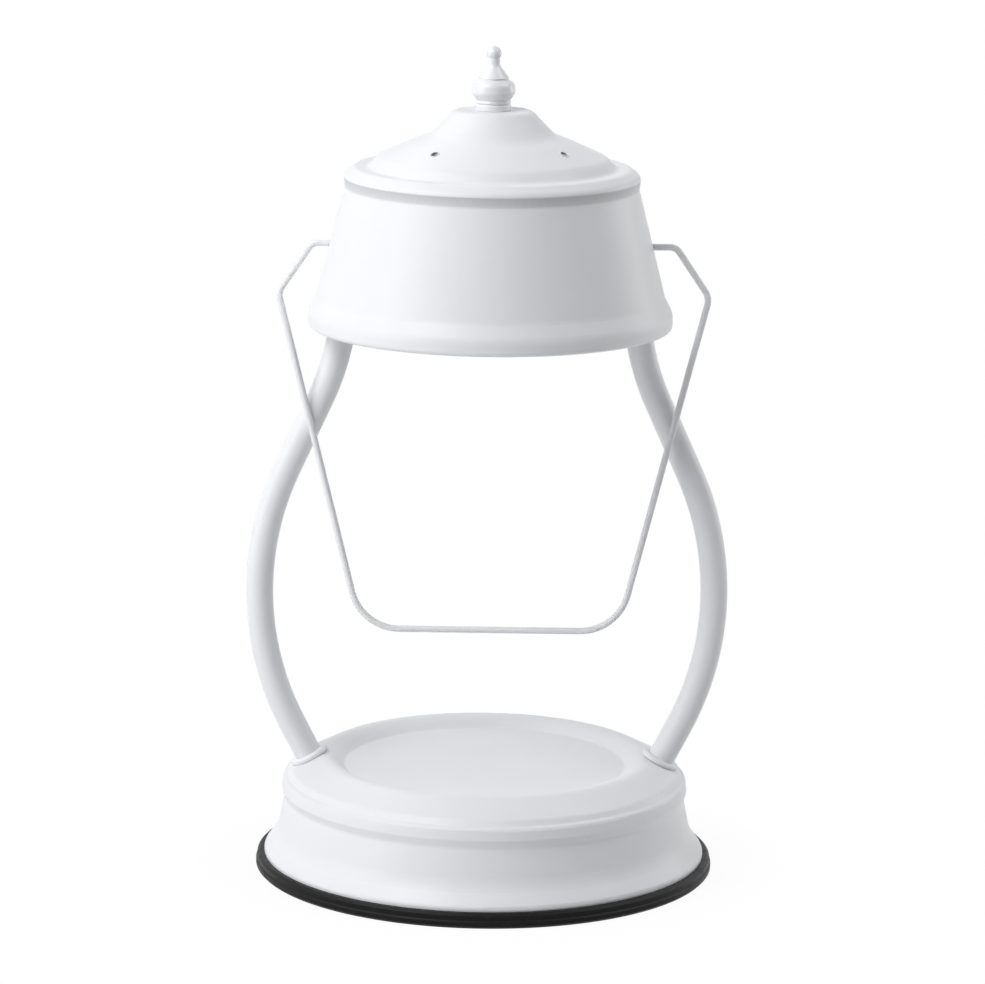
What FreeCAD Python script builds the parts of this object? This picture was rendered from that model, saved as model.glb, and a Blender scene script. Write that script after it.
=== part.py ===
import FreeCAD, Part
import math
import os
import re
import Sketcher
from FreeCAD import Placement, Rotation, Vector

# Candle warmer lamp: a spun steel base and shade on two bent tube posts, with a wire
# carrying handle that swings about the shade. Origin at the middle of the foot ring's
# underside, +Z up, +X to the right of someone facing the lamp. Millimetres.

doc = FreeCAD.newDocument("candle_warmer_lamp")
sizes = doc.addObject("Spreadsheet::Sheet", "Sizes")

DRIVING_SIZES = [
    # foot ring, a rubber edge trim round the bottom of the base
    ("ring_radius", 85.0),
    ("ring_lip", 3.1),
    ("ring_height", 5.5),
    ("ring_width", 9.0),
    ("ring_slot_floor", 3.0),
    ("ring_ledge", 3.2),
    ("ring_edge", 0.9),
    ("ring_step", 0.5),
    ("ring_step_height", 2.4),
    # spun base
    ("base_wall", 1.2),
    ("skirt_height", 6.8),
    ("skirt_bend", 2.5),
    ("flare_radius", 77.0),
    ("flare_height", 13.6),
    ("flare_bend", 12.0),
    ("neck_radius", 74.4),
    ("neck_height", 26.8),
    ("neck_bend", 2.5),
    ("bead_radius", 75.5),
    ("bead_height", 29.9),
    ("bead_top_radius", 75.0),
    ("bead_top_height", 33.9),
    ("bead_bend", 1.3),
    ("cove_radius", 73.3),
    ("cove_height", 34.7),
    ("cove_bend", 1.0),
    ("shoulder_radius", 72.0),
    ("shoulder_bend", 2.0),
    ("crest_radius", 59.6),
    ("crest_height", 43.1),
    ("crest_bend", 6.5),
    ("lip_radius", 55.4),
    ("lip_height", 40.9),
    ("lip_bend", 2.0),
    ("recess_radius", 52.2),
    ("recess_height", 38.2),
    ("recess_bend", 1.5),
    # posts
    ("post_diameter", 10.0),
    ("post_wall", 1.2),
    ("foot_spread", 65.2),
    ("foot_lean", 27.0),
    ("waist_spread", 84.1),
    ("lower_bend", 110.5),
    ("inward_lean", 24.6),
    ("upper_bend", 97.5),
    ("post_top_spread", 53.2),
    ("post_top_height", 222.0),
    # post fixings
    ("collar_diameter", 14.4),
    ("collar_thickness", 1.7),
    ("collar_edge", 0.7),
    ("nipple_bore", 4.6),
    ("nipple_drop", 9.0),
    ("nipple_rise", 12.0),
    ("saddle_diameter", 12.0),
    ("saddle_thickness", 2.4),
    ("foot_nut_flats", 11.0),
    ("foot_nut_thickness", 4.5),
    ("insert_length", 8.5),
    # bottom plate and its screws
    ("plate_thickness", 1.5),
    ("plate_margin", 1.2),
    ("standoff_circle", 42.0),
    ("standoff_diameter", 9.0),
    ("screw_diameter", 3.8),
    ("screw_head_diameter", 7.0),
    ("screw_head_height", 2.0),
    ("screw_head_edge", 0.8),
    ("screw_length", 10.0),
    # cord inlet bush
    ("inlet_height", 20.8),
    ("inlet_diameter", 7.8),
    ("inlet_bore", 5.4),
    ("inlet_flange_diameter", 10.0),
    ("inlet_flange_thickness", 1.4),
    ("inlet_flange_edge", 0.5),
    ("inlet_gap", 0.25),
    # terminal block
    ("terminal_length", 26.0),
    ("terminal_width", 14.0),
    ("terminal_height", 12.0),
    ("terminal_bore", 3.4),
    ("terminal_setback", 40.0),
    # spun shade, heights above its bottom edge
    ("shade_wall", 0.9),
    ("shade_mouth_radius", 64.6),
    ("shade_bead_radius", 66.6),
    ("shade_bead_rise", 5.6),
    ("shade_crease_radius", 63.7),
    ("shade_crease_rise", 11.4),
    ("shade_top_radius", 53.6),
    ("shade_top_rise", 51.0),
    ("rim_radius", 54.1),
    ("rim_rise", 55.8),
    ("rim_crest_radius", 50.2),
    ("rim_crest_rise", 58.7),
    ("valley_radius", 45.2),
    ("valley_rise", 58.3),
    ("dome_edge_radius", 42.0),
    ("dome_edge_rise", 62.2),
    ("dome_top_radius", 29.5),
    ("dome_top_rise", 67.9),
    ("cupola_radius", 22.6),
    ("cupola_rise", 70.5),
    ("cupola_top_radius", 14.2),
    ("shade_rise", 79.3),
    ("cupola_bend", 3.4),
    ("cupola_foot_bend", 12.0),
    ("dome_bend", 20.0),
    ("dome_edge_bend", 6.0),
    ("valley_bend", 2.5),
    ("rim_crest_bend", 3.0),
    ("rim_bend", 2.2),
    ("shade_top_bend", 3.0),
    ("shade_crease_bend", 6.0),
    ("shade_bead_bend", 6.0),
    ("shade_mouth_bend", 1.6),
    ("vent_diameter", 3.2),
    ("vent_circle", 33.0),
    ("vent_clocking", 6.0),
    # wire handle
    ("wire_diameter", 2.4),
    ("pivot_rise", 29.9),
    ("stub_spread", 66.3),
    ("elbow_spread", 78.7),
    ("elbow_drop", 18.2),
    ("handle_drop", 141.6),
    ("handle_bottom_spread", 47.2),
    ("stub_bend", 4.0),
    ("elbow_bend", 6.0),
    ("handle_corner", 18.0),
    ("handle_slide", 1.1),
    ("cap_diameter", 6.4),
    ("cap_thickness", 1.6),
    ("cap_edge", 0.5),
    # strap across the post tops
    ("strap_width", 13.0),
    ("strap_thickness", 2.0),
    ("strap_rise", 47.0),
    ("strap_flat", 23.0),
    ("strap_shoulder_spread", 44.0),
    ("strap_shoulder_drop", 13.0),
    ("strap_leg_spread", 46.8),
    ("strap_toe", 4.8),
    ("strap_bend", 3.0),
    # stud, nuts, spacer and finial
    ("stud_diameter", 5.0),
    ("stud_reach", 7.5),
    ("stud_tail", 0.6),
    ("stud_nut_flats", 8.0),
    ("stud_nut_thickness", 3.2),
    ("spacer_diameter", 12.0),
    ("spacer_length", 8.2),
    ("finial_height", 23.3),
    ("finial_foot_radius", 6.5),
    ("finial_foot_height", 1.9),
    ("finial_groove_radius", 5.9),
    ("finial_groove_height", 2.4),
    ("finial_waist_radius", 6.1),
    ("finial_waist_height", 3.8),
    ("finial_bulb_radius", 8.0),
    ("finial_bulb_low", 6.2),
    ("finial_bulb_high", 10.0),
    ("finial_bulb_bend", 2.6),
    ("finial_collar_radius", 5.6),
    ("finial_collar_height", 11.9),
    ("finial_neck_radius", 2.2),
    ("finial_neck_height", 16.4),
    ("finial_neck_bend", 4.0),
    ("finial_ball_radius", 2.7),
    # lamp holder and bulb
    ("holder_diameter", 29.0),
    ("holder_height", 17.0),
    ("holder_edge", 1.5),
    ("holder_recess_diameter", 13.0),
    ("holder_recess_depth", 4.6),
    ("holder_screw_spacing", 20.0),
    ("holder_screw_diameter", 2.9),
    ("holder_screw_head", 5.5),
    ("pin_spacing", 10.0),
    ("pin_diameter", 4.2),
    ("pin_length", 6.5),
    ("bulb_diameter", 50.0),
    ("bulb_length", 48.5),
    ("bulb_base_diameter", 24.0),
    ("bulb_base_height", 14.0),
    ("bulb_base_edge", 1.0),
    ("bulb_glass", 1.3),
    ("bulb_rim_height", 5.0),
    ("bulb_rim_bend", 15.0),
    ("bowl_throat_radius", 11.5),
    ("bowl_middle_radius", 21.5),
    ("bowl_middle_height", 16.0),
    ("bowl_bend", 40.0),
    ("front_glass_recess", 0.4),
    ("capsule_diameter", 9.0),
    ("capsule_length", 15.0),
    # clearances
    ("fit", 0.1),
    ("running_clearance", 0.3),
]

for row, (alias, value) in enumerate(DRIVING_SIZES, start=1):
    sizes.set("A%d" % row, alias)
    sizes.set("B%d" % row, str(value))
    sizes.setAlias("B%d" % row, alias)
doc.recompute()


def size(alias):
    """The sheet's value of one driving size."""
    return float(getattr(sizes, alias))


def worked(expression):
    """The value of an expression in the sheet's aliases."""
    return float(sizes.evalExpression(expression))


def in_sheet(expression):
    """The same expression, written for an object outside the sheet."""
    names = [name for name, value in DRIVING_SIZES]
    return re.sub("[a-z_]+", lambda word: marked(word[0], names), expression)


def marked(word, names):
    """A sheet alias with the sheet's name before it, and any other word as it is."""
    return "Sizes." + word if word in names else word


def bind(thing, field, expression):
    """Bind one property of an object to an expression in the sheet's aliases."""
    thing.setExpression(field, in_sheet(expression))


def origin_plane(body, role):
    """One of a body's own three base planes."""
    for feature in body.Origin.OriginFeatures:
        if feature.Role == role:
            return feature
    return None


def new_sketch(body, name, role):
    """An empty sketch on one of the body's base planes."""
    sketch = body.newObject("Sketcher::SketchObject", name)
    sketch.AttachmentSupport = [(origin_plane(body, role), "")]
    sketch.MapMode = "FlatFace"
    return sketch


def draw_outline(sketch, corners):
    """A closed outline of straight runs, each corner held by two bound distances."""
    points = [Vector(worked(x), worked(y), 0) for x, y in corners]
    count = len(points)
    for index in range(count):
        run = Part.LineSegment(points[index], points[(index + 1) % count])
        sketch.addGeometry(run, False)
    for index in range(count):
        following = (index + 1) % count
        sketch.addConstraint(Sketcher.Constraint("Coincident", index, 2, following, 1))
    for index, (x, y) in enumerate(corners):
        hold_point(sketch, index, 1, x, "DistanceX", -2)
        hold_point(sketch, index, 1, y, "DistanceY", -1)


def hold_point(sketch, geometry, end, expression, kind, axis):
    """Hold a point on an axis, or at a bound distance from the origin."""
    if expression == "0":
        sketch.addConstraint(Sketcher.Constraint("PointOnObject", geometry, end, axis))
        return
    value = worked(expression)
    rule = Sketcher.Constraint(kind, -1, 1, geometry, end, value)
    number = sketch.addConstraint(rule)
    bind(sketch, "Constraints[%d]" % number, expression)


def draw_circle(sketch, x, y, diameter):
    """A circle held by its centre and its bound diameter."""
    centre = Vector(worked(x), worked(y), 0)
    circle = Part.Circle(centre, Vector(0, 0, 1), worked(diameter) / 2)
    index = sketch.addGeometry(circle, False)
    hold_point(sketch, index, 3, x, "DistanceX", -2)
    hold_point(sketch, index, 3, y, "DistanceY", -1)
    rule = Sketcher.Constraint("Diameter", index, worked(diameter))
    number = sketch.addConstraint(rule)
    bind(sketch, "Constraints[%d]" % number, diameter)


def draw_hexagon(sketch, flats):
    """A hexagon about the origin, its corners worked out from its width across flats."""
    across = "(%s) / cos(30)" % flats
    corners = []
    for turn in range(6):
        angle = 60 * turn + 30
        x = "%s * %.10f / 2" % (across, math.cos(math.radians(angle)))
        y = "%s * %.10f / 2" % (across, math.sin(math.radians(angle)))
        corners.append((x, "%s" % y))
    corners = [("0" if abs(worked(x)) < 1e-6 else x, y) for x, y in corners]
    draw_outline(sketch, corners)


def turned(label, corners):
    """A turned or spun piece: its half section, as radius and height, spun about Z."""
    body = doc.addObject("PartDesign::Body", label)
    sketch = new_sketch(body, label + "_section", "XZ_Plane")
    draw_outline(sketch, corners)
    spin = body.newObject("PartDesign::Revolution", label + "_spin")
    spin.Profile = sketch
    spin.ReferenceAxis = (sketch, ["V_Axis"])
    spin.Angle = 360
    body.Tip = spin
    return body


def hexagon_nut(label, flats, thickness, bore):
    """A hexagon nut standing on the XY plane."""
    body = doc.addObject("PartDesign::Body", label)
    sketch = new_sketch(body, label + "_section", "XY_Plane")
    draw_hexagon(sketch, flats)
    draw_circle(sketch, "0", "0", bore)
    pad = body.newObject("PartDesign::Pad", label + "_pad")
    pad.Profile = sketch
    bind(pad, "Length", thickness)
    body.Tip = pad
    return body


def cylinder(name, diameter, height, place):
    """A plain cylinder with bound sizes, used to cut and to join."""
    piece = doc.addObject("Part::Cylinder", name)
    bind(piece, "Radius", "(%s) / 2" % diameter)
    bind(piece, "Height", height)
    piece.Placement = place
    return piece


def cut(label, base, tools):
    """A piece with other pieces cut out of it."""
    if len(tools) > 1:
        cutter = doc.addObject("Part::MultiFuse", label + "_cutter")
        cutter.Shapes = tools
    else:
        cutter = tools[0]
    result = doc.addObject("Part::Cut", label)
    result.Base = base
    result.Tool = cutter
    return result


def group(label, pieces):
    """Separate identical pieces kept under one name."""
    joined = doc.addObject("Part::Compound", label)
    joined.Links = pieces
    return joined


def rounded_route(corners):
    """Straight runs joined by tangent arcs: each corner is a point and a bend radius."""
    edges = []
    start = corners[0][0]
    for index in range(1, len(corners) - 1):
        corner, radius = corners[index]
        if radius == 0:
            edges.append(Part.LineSegment(start, corner).toShape())
            start = corner
            continue
        before = (corners[index - 1][0] - corner).normalize()
        after = (corners[index + 1][0] - corner).normalize()
        half = before.getAngle(after) / 2
        reach = radius / math.tan(half)
        middle = (before + after).normalize() * (radius / math.sin(half))
        centre = corner + middle
        first = corner + before * reach
        last = corner + after * reach
        top = centre - Vector(middle).normalize() * radius
        if (first - start).Length > 1e-6:
            edges.append(Part.LineSegment(start, first).toShape())
        edges.append(Part.Arc(first, top, last).toShape())
        start = last
    edges.append(Part.LineSegment(start, corners[-1][0]).toShape())
    return Part.Wire(edges)


def along(route, radius):
    """A round bar along a route."""
    edge = route.Edges[0]
    start = edge.valueAt(edge.FirstParameter)
    heading = edge.tangentAt(edge.FirstParameter)
    disc = Part.Wire(Part.makeCircle(radius, start, heading))
    return route.makePipeShell([disc], True, False)


def spun_shell(corners, wall):
    """A thin spun shell: its outer half section, thickened inwards and spun about Z."""
    outline = [(Vector(radius, 0, height), bend) for radius, height, bend in corners]
    route = rounded_route(outline)
    section = route.makeOffset2D(wall, join=2, fill=True, openResult=True)
    return section.revolve(Vector(0, 0, 0), Vector(0, 0, 1), 360)


def spun_solid(corners):
    """A turned solid: its half section with rounded corners, spun about Z."""
    outline = [(Vector(radius, 0, height), bend) for radius, height, bend in corners]
    closing = Part.LineSegment(outline[-1][0], outline[0][0]).toShape()
    section = Part.Face(Part.Wire(rounded_route(outline).Edges + [closing]))
    return section.revolve(Vector(0, 0, 0), Vector(0, 0, 1), 360)


def feature(label, shape):
    """A piece whose shape is worked out by this script's own functions."""
    piece = doc.addObject("Part::Feature", label)
    piece.Shape = shape
    return piece


# Heights and radii that several pieces share
PLATE_TOP = "(ring_ledge + plate_thickness)"
BOSS_TOP = "(recess_height - base_wall)"
SKIRT_RADIUS = "(ring_radius - ring_lip)"
STRAP_SEAT = "(post_top_height + strap_rise)"
HOLDER_SEAT = "(" + STRAP_SEAT + " - holder_height)"
BULB_RIM = "(" + HOLDER_SEAT + " - bulb_length)"
BULB_SHOULDER = "(" + HOLDER_SEAT + " - bulb_base_height)"
STRAP_TOP = "(" + STRAP_SEAT + " + strap_thickness)"
SPACER_FOOT = "(" + STRAP_TOP + " + stud_nut_thickness)"
SHADE_TOP = "(" + SPACER_FOOT + " + spacer_length + shade_wall)"
SHADE_MOUTH = "(" + SHADE_TOP + " - shade_rise)"
PIVOT_HEIGHT = "(" + SHADE_MOUTH + " + pivot_rise)"
NIPPLE_DIAMETER = "(post_diameter - 2 * post_wall - 2 * fit)"
THREAD_HOLE = "(post_diameter - 2 * post_wall)"

nodes = []


def keep(piece):
    """List a finished sub-part under its own label."""
    nodes.append(piece)
    return piece


def foot_height():
    """Height of the shoulder where a post stands on it."""
    run = size("foot_spread") - size("crest_radius")
    return size("crest_height") - run * math.tan(math.radians(size("foot_lean")))


def foot_axis(side):
    """The way a post leaves the shoulder: square to it, leaning outwards."""
    lean = math.radians(size("foot_lean"))
    return Vector(side * math.sin(lean), 0, math.cos(lean))


def at_foot(side, rise):
    """A place on a post's foot axis, a distance out from the shoulder."""
    foot = Vector(side * size("foot_spread"), 0, foot_height())
    turn = Rotation(Vector(0, 0, 1), foot_axis(side))
    return Placement(foot + foot_axis(side) * rise, turn)


def up_at(x, y, z):
    """An upright place."""
    return Placement(Vector(x, y, z), Rotation())


def cone_radius(height):
    """Outer radius of the shade's long cone at a height."""
    low = worked(SHADE_MOUTH) + size("shade_crease_rise")
    high = worked(SHADE_MOUTH) + size("shade_top_rise")
    share = (height - low) / (high - low)
    narrowing = size("shade_crease_radius") - size("shade_top_radius")
    return size("shade_crease_radius") - share * narrowing


SIDES = [("left", -1), ("right", 1)]


# Foot ring: a slotted rubber trim, its ledge carries the bottom plate
ring = keep(turned("foot_ring", [
    ("ring_radius - ring_width", "0"),
    ("ring_radius - ring_edge", "0"),
    ("ring_radius", "ring_edge"),
    ("ring_radius", "ring_step_height"),
    ("ring_radius - ring_step", "ring_step_height + ring_step"),
    ("ring_radius - ring_step", "ring_height - ring_edge"),
    ("ring_radius - ring_step - ring_edge", "ring_height"),
    (SKIRT_RADIUS + " + fit", "ring_height"),
    (SKIRT_RADIUS + " + fit", "ring_slot_floor"),
    (SKIRT_RADIUS + " - base_wall - fit", "ring_slot_floor"),
    (SKIRT_RADIUS + " - base_wall - fit", "ring_ledge"),
    ("ring_radius - ring_width", "ring_ledge"),
]))


# Base shell: recessed seat, rolled lip, sloping shoulder, bead, neck and flared skirt
def shoulder_height():
    """Height at which the shoulder's slope ends and the cove above the bead begins."""
    run = size("shoulder_radius") - size("crest_radius")
    return size("crest_height") - run * math.tan(math.radians(size("foot_lean")))


base_outline = [
    (0, size("recess_height"), 0),
    (size("recess_radius"), size("recess_height"), size("recess_bend")),
    (size("lip_radius"), size("lip_height"), size("lip_bend")),
    (size("crest_radius"), size("crest_height"), size("crest_bend")),
    (size("shoulder_radius"), shoulder_height(), size("shoulder_bend")),
    (size("cove_radius"), size("cove_height"), size("cove_bend")),
    (size("bead_top_radius"), size("bead_top_height"), size("bead_bend")),
    (size("bead_radius"), size("bead_height"), size("bead_bend")),
    (size("neck_radius"), size("neck_height"), size("neck_bend")),
    (size("flare_radius"), size("flare_height"), size("flare_bend")),
    (worked(SKIRT_RADIUS), size("skirt_height"), size("skirt_bend")),
    (worked(SKIRT_RADIUS), size("ring_slot_floor"), 0),
]
base_spun = feature("base_spun", spun_shell(base_outline, -size("base_wall")))

skirt_run = size("neck_height") - size("flare_height")
skirt_widening = size("flare_radius") - size("neck_radius")
skirt_slope = skirt_widening / skirt_run
inlet_radius = size("neck_radius") + (size("neck_height") - size("inlet_height")) * skirt_slope
inlet_axis = Vector(0, 1, skirt_slope).normalize()
inlet_turn = Rotation(Vector(0, 0, 1), inlet_axis)
inlet_centre = Vector(0, inlet_radius, size("inlet_height"))


def at_inlet(rise):
    """A place on the cord inlet's axis, a distance out from the skirt."""
    return Placement(inlet_centre + inlet_axis * rise, inlet_turn)


base_cutters = [cylinder("inlet_hole", "inlet_diameter", "6 * base_wall",
                         at_inlet(-3 * size("base_wall")))]
for name, side in SIDES:
    hole = cylinder(name + "_foot_hole", NIPPLE_DIAMETER + " + 4 * fit", "6 * base_wall",
                    at_foot(side, -3 * size("base_wall")))
    base_cutters.append(hole)
keep(cut("base_shell", base_spun, base_cutters))


# Cord inlet bush: a flanged rubber ring in the back of the skirt
flange_radius = size("inlet_flange_diameter") / 2
skirt_sag = inlet_radius - math.sqrt(inlet_radius ** 2 - flange_radius ** 2)
BUSH_INSIDE = "0 - base_wall - inlet_gap - %.4f" % skirt_sag
BUSH_END = BUSH_INSIDE + " - inlet_flange_thickness"
BUSH_FACE = "inlet_gap + inlet_flange_thickness"
bush = keep(turned("cord_inlet_bush", [
    ("inlet_bore / 2", BUSH_END),
    ("inlet_flange_diameter / 2", BUSH_END),
    ("inlet_flange_diameter / 2", BUSH_INSIDE),
    ("inlet_diameter / 2 - fit", BUSH_INSIDE),
    ("inlet_diameter / 2 - fit", "inlet_gap"),
    ("inlet_flange_diameter / 2", "inlet_gap"),
    ("inlet_flange_diameter / 2", BUSH_FACE + " - inlet_flange_edge"),
    ("inlet_flange_diameter / 2 - inlet_flange_edge", BUSH_FACE),
    ("inlet_bore / 2", BUSH_FACE),
]))
bush.Placement = at_inlet(0)


# Bottom plate, its three standoffs under the seat, and their screws
def on_circle(turn):
    """The two distances of a standoff from the axis, as expressions."""
    return "standoff_circle * cos(%d)" % turn, "standoff_circle * sin(%d)" % turn


STANDOFF_TURNS = [30, 150, 270]
plate = keep(doc.addObject("PartDesign::Body", "bottom_plate"))
plate_sketch = new_sketch(plate, "plate_outline", "XY_Plane")
draw_circle(plate_sketch, "0", "0", "2 * (" + SKIRT_RADIUS + " - base_wall - plate_margin)")
for turn in STANDOFF_TURNS:
    x, y = on_circle(turn)
    x = "0" if abs(worked(x)) < 1e-9 else x
    draw_circle(plate_sketch, x, y, "screw_diameter + 4 * fit")
plate_pad = plate.newObject("PartDesign::Pad", "plate_pad")
plate_pad.Profile = plate_sketch
bind(plate_pad, "Length", "plate_thickness")
plate.Tip = plate_pad
plate.Placement = up_at(0, 0, size("ring_ledge"))

standoffs = []
plate_screws = []
for number, turn in enumerate(STANDOFF_TURNS, start=1):
    x, y = [worked(distance) for distance in on_circle(turn)]
    standoff = turned("standoff_%d" % number, [
        ("screw_diameter / 2 + fit", "0"),
        ("standoff_diameter / 2", "0"),
        ("standoff_diameter / 2", BOSS_TOP + " - " + PLATE_TOP),
        ("0", BOSS_TOP + " - " + PLATE_TOP),
        ("0", "screw_length"),
        ("screw_diameter / 2 + fit", "screw_length"),
    ])
    standoff.Placement = up_at(x, y, worked(PLATE_TOP))
    standoffs.append(standoff)
    screw = turned("plate_screw_%d" % number, [
        ("0", "0 - screw_head_height"),
        ("screw_head_diameter / 2 - screw_head_edge", "0 - screw_head_height"),
        ("screw_head_diameter / 2", "0 - screw_head_height / 2"),
        ("screw_head_diameter / 2", "0"),
        ("screw_diameter / 2", "0"),
        ("screw_diameter / 2", "screw_length"),
        ("0", "screw_length"),
    ])
    screw.Placement = up_at(x, y, size("ring_ledge"))
    plate_screws.append(screw)
keep(group("plate_standoffs", standoffs))
keep(group("plate_screws", plate_screws))


# Terminal block on the bottom plate, with two wire bores from front to back
block = doc.addObject("Part::Box", "terminal_body")
bind(block, "Length", "terminal_length")
bind(block, "Width", "terminal_width")
bind(block, "Height", "terminal_height")
block.Placement = up_at(-size("terminal_length") / 2, size("terminal_setback"), worked(PLATE_TOP))
bores = []
for number, side in enumerate([-1, 1], start=1):
    start = Vector(side * size("terminal_length") / 4, size("terminal_setback") - size("fit"),
                   worked(PLATE_TOP + " + terminal_height / 2"))
    place = Placement(start, Rotation(Vector(0, 0, 1), Vector(0, 1, 0)))
    bores.append(cylinder("terminal_bore_%d" % number, "terminal_bore",
                          "terminal_width + 2 * fit", place))
keep(cut("terminal_block", block, bores))


# Post feet: collar above the shell, threaded nipple through it, then a moulded saddle
# whose top follows the inside of the shell, and a nut
near_shell = spun_shell(base_outline, -size("base_wall") - size("fit"))
near_base_shell = feature("near_base_shell", near_shell)
saddle_drop = size("base_wall") + size("fit") + size("saddle_thickness")
foot_saddles = []
foot_nuts = []
for name, side in SIDES:
    collar = keep(turned(name + "_post_collar", [
        (THREAD_HOLE + " / 2", "0"),
        ("collar_diameter / 2", "0"),
        ("collar_diameter / 2", "collar_thickness - collar_edge"),
        ("collar_diameter / 2 - collar_edge", "collar_thickness"),
        (THREAD_HOLE + " / 2", "collar_thickness"),
    ]))
    collar.Placement = at_foot(side, size("fit") / 2)
    nipple = keep(turned(name + "_foot_nipple", [
        ("nipple_bore / 2", "0"),
        (NIPPLE_DIAMETER + " / 2", "0"),
        (NIPPLE_DIAMETER + " / 2", "nipple_drop + nipple_rise"),
        ("nipple_bore / 2", "nipple_drop + nipple_rise"),
    ]))
    nipple.Placement = at_foot(side, -size("nipple_drop"))
    blank = turned(name + "_saddle_blank", [
        (THREAD_HOLE + " / 2", "0"),
        ("saddle_diameter / 2", "0"),
        ("saddle_diameter / 2", "saddle_thickness + fit"),
        (THREAD_HOLE + " / 2", "saddle_thickness + fit"),
    ])
    blank.Placement = at_foot(side, -saddle_drop)
    foot_saddles.append(cut(name + "_foot_saddle", blank, [near_base_shell]))
    nut = hexagon_nut(name + "_foot_nut", "foot_nut_flats", "foot_nut_thickness", THREAD_HOLE)
    nut.Placement = at_foot(side, -saddle_drop - size("foot_nut_thickness"))
    foot_nuts.append(nut)
keep(group("foot_saddles", foot_saddles))
keep(group("foot_nuts", foot_nuts))


# Posts: straight foot, long outward bow, then a reverse bend to upright in the shade
def post_route(side):
    """Centre line of a post, from its collar to its top."""
    lean = math.radians(size("foot_lean"))
    inward = math.radians(size("inward_lean"))
    base = at_foot(side, size("collar_thickness") + size("fit") / 2).Base
    bow_start = size("waist_spread") - size("lower_bend") * (1 - math.cos(lean))
    foot_run = (bow_start - abs(base.x)) / math.sin(lean)
    bow_reach = size("lower_bend") * math.tan((lean + inward) / 2)
    knee = base + foot_axis(side) * (foot_run + bow_reach)
    climb = (abs(knee.x) - size("post_top_spread")) / math.tan(inward)
    neck = Vector(side * size("post_top_spread"), 0, knee.z + climb)
    top = Vector(neck.x, 0, size("post_top_height"))
    return rounded_route([(base, 0), (knee, size("lower_bend")),
                          (neck, size("upper_bend")), (top, 0)])


post_radius = size("post_diameter") / 2
for name, side in SIDES:
    route = post_route(side)
    bar = along(route, post_radius)
    tube = bar.cut(along(route, post_radius - size("post_wall")))
    keep(feature(name + "_post", tube.Solids[0]))


# Strap across the post tops: feet, legs and a raised flat under the shade's top
def strap_route():
    """Underside of the strap, from the left foot to the right one."""
    toe = size("post_top_spread") + size("strap_toe")
    shoulder_z = worked(STRAP_SEAT) - size("strap_shoulder_drop")
    half = [
        (toe, size("post_top_height"), 0),
        (size("strap_leg_spread"), size("post_top_height"), size("strap_bend")),
        (size("strap_shoulder_spread"), shoulder_z, size("strap_bend")),
        (size("strap_flat"), worked(STRAP_SEAT), size("strap_bend")),
    ]
    back = size("strap_width") / 2
    left = [(Vector(-x, back, z), bend) for x, z, bend in half]
    right = [(Vector(x, back, z), bend) for x, z, bend in reversed(half)]
    return rounded_route(left + right)


strip = strap_route().makeOffset2D(size("strap_thickness"), join=2, fill=True, openResult=True)
strap_bar = feature("strap_bar", strip.extrude(Vector(0, -size("strap_width"), 0)))
strap_cutters = [cylinder("stud_hole", "stud_diameter + 2 * fit", "2 * strap_thickness",
                          up_at(0, 0, worked(STRAP_SEAT) - size("strap_thickness") / 2))]
for name, side in SIDES:
    strap_cutters.append(cylinder(
        name + "_strap_hole", "screw_diameter + 2 * fit", "2 * strap_thickness",
        up_at(side * size("post_top_spread"), 0,
              size("post_top_height") - size("strap_thickness") / 2)))
    strap_cutters.append(cylinder(
        name + "_holder_hole", "holder_screw_diameter + 2 * fit", "2 * strap_thickness",
        up_at(side * size("holder_screw_spacing") / 2, 0,
              worked(STRAP_SEAT) - size("strap_thickness") / 2)))
keep(cut("strap", strap_bar, strap_cutters))


# Inserts in the post tops, and the screws that hold the strap down on them
inserts = []
strap_screws = []
for name, side in SIDES:
    x = side * size("post_top_spread")
    insert = turned(name + "_insert", [
        ("screw_diameter / 2 + fit", "0"),
        (NIPPLE_DIAMETER + " / 2", "0"),
        (NIPPLE_DIAMETER + " / 2", "insert_length"),
        ("screw_diameter / 2 + fit", "insert_length"),
    ])
    insert.Placement = up_at(x, 0, size("post_top_height") - size("insert_length"))
    inserts.append(insert)
    screw = turned(name + "_strap_screw", [
        ("0", "0 - screw_length"),
        ("screw_diameter / 2", "0 - screw_length"),
        ("screw_diameter / 2", "0"),
        ("screw_head_diameter / 2", "0"),
        ("screw_head_diameter / 2", "screw_head_height / 2"),
        ("screw_head_diameter / 2 - screw_head_edge", "screw_head_height"),
        ("0", "screw_head_height"),
    ])
    screw.Placement = up_at(x, 0, size("post_top_height") + size("strap_thickness"))
    strap_screws.append(screw)
keep(group("post_top_inserts", inserts))
keep(group("strap_screws", strap_screws))


# Stud up the middle, its two nuts, the spacer under the shade's top, and the finial
stud_foot = "(" + STRAP_SEAT + " - stud_nut_thickness - stud_tail)"
stud_top = SHADE_TOP + " + stud_reach"
stud = keep(cylinder("centre_stud", "stud_diameter", stud_top + " - " + stud_foot,
                     up_at(0, 0, worked(stud_foot))))
stud_nuts = []
for name, height in [("lower", STRAP_SEAT + " - stud_nut_thickness"), ("upper", STRAP_TOP)]:
    nut = hexagon_nut(name + "_stud_nut", "stud_nut_flats", "stud_nut_thickness",
                      "stud_diameter + 2 * fit")
    nut.Placement = up_at(0, 0, worked(height))
    stud_nuts.append(nut)
keep(group("stud_nuts", stud_nuts))

spacer = keep(turned("shade_spacer", [
    ("stud_diameter / 2 + fit", "0"),
    ("spacer_diameter / 2", "0"),
    ("spacer_diameter / 2", "spacer_length"),
    ("stud_diameter / 2 + fit", "spacer_length"),
]))
spacer.Placement = up_at(0, 0, worked(SPACER_FOOT))


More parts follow.
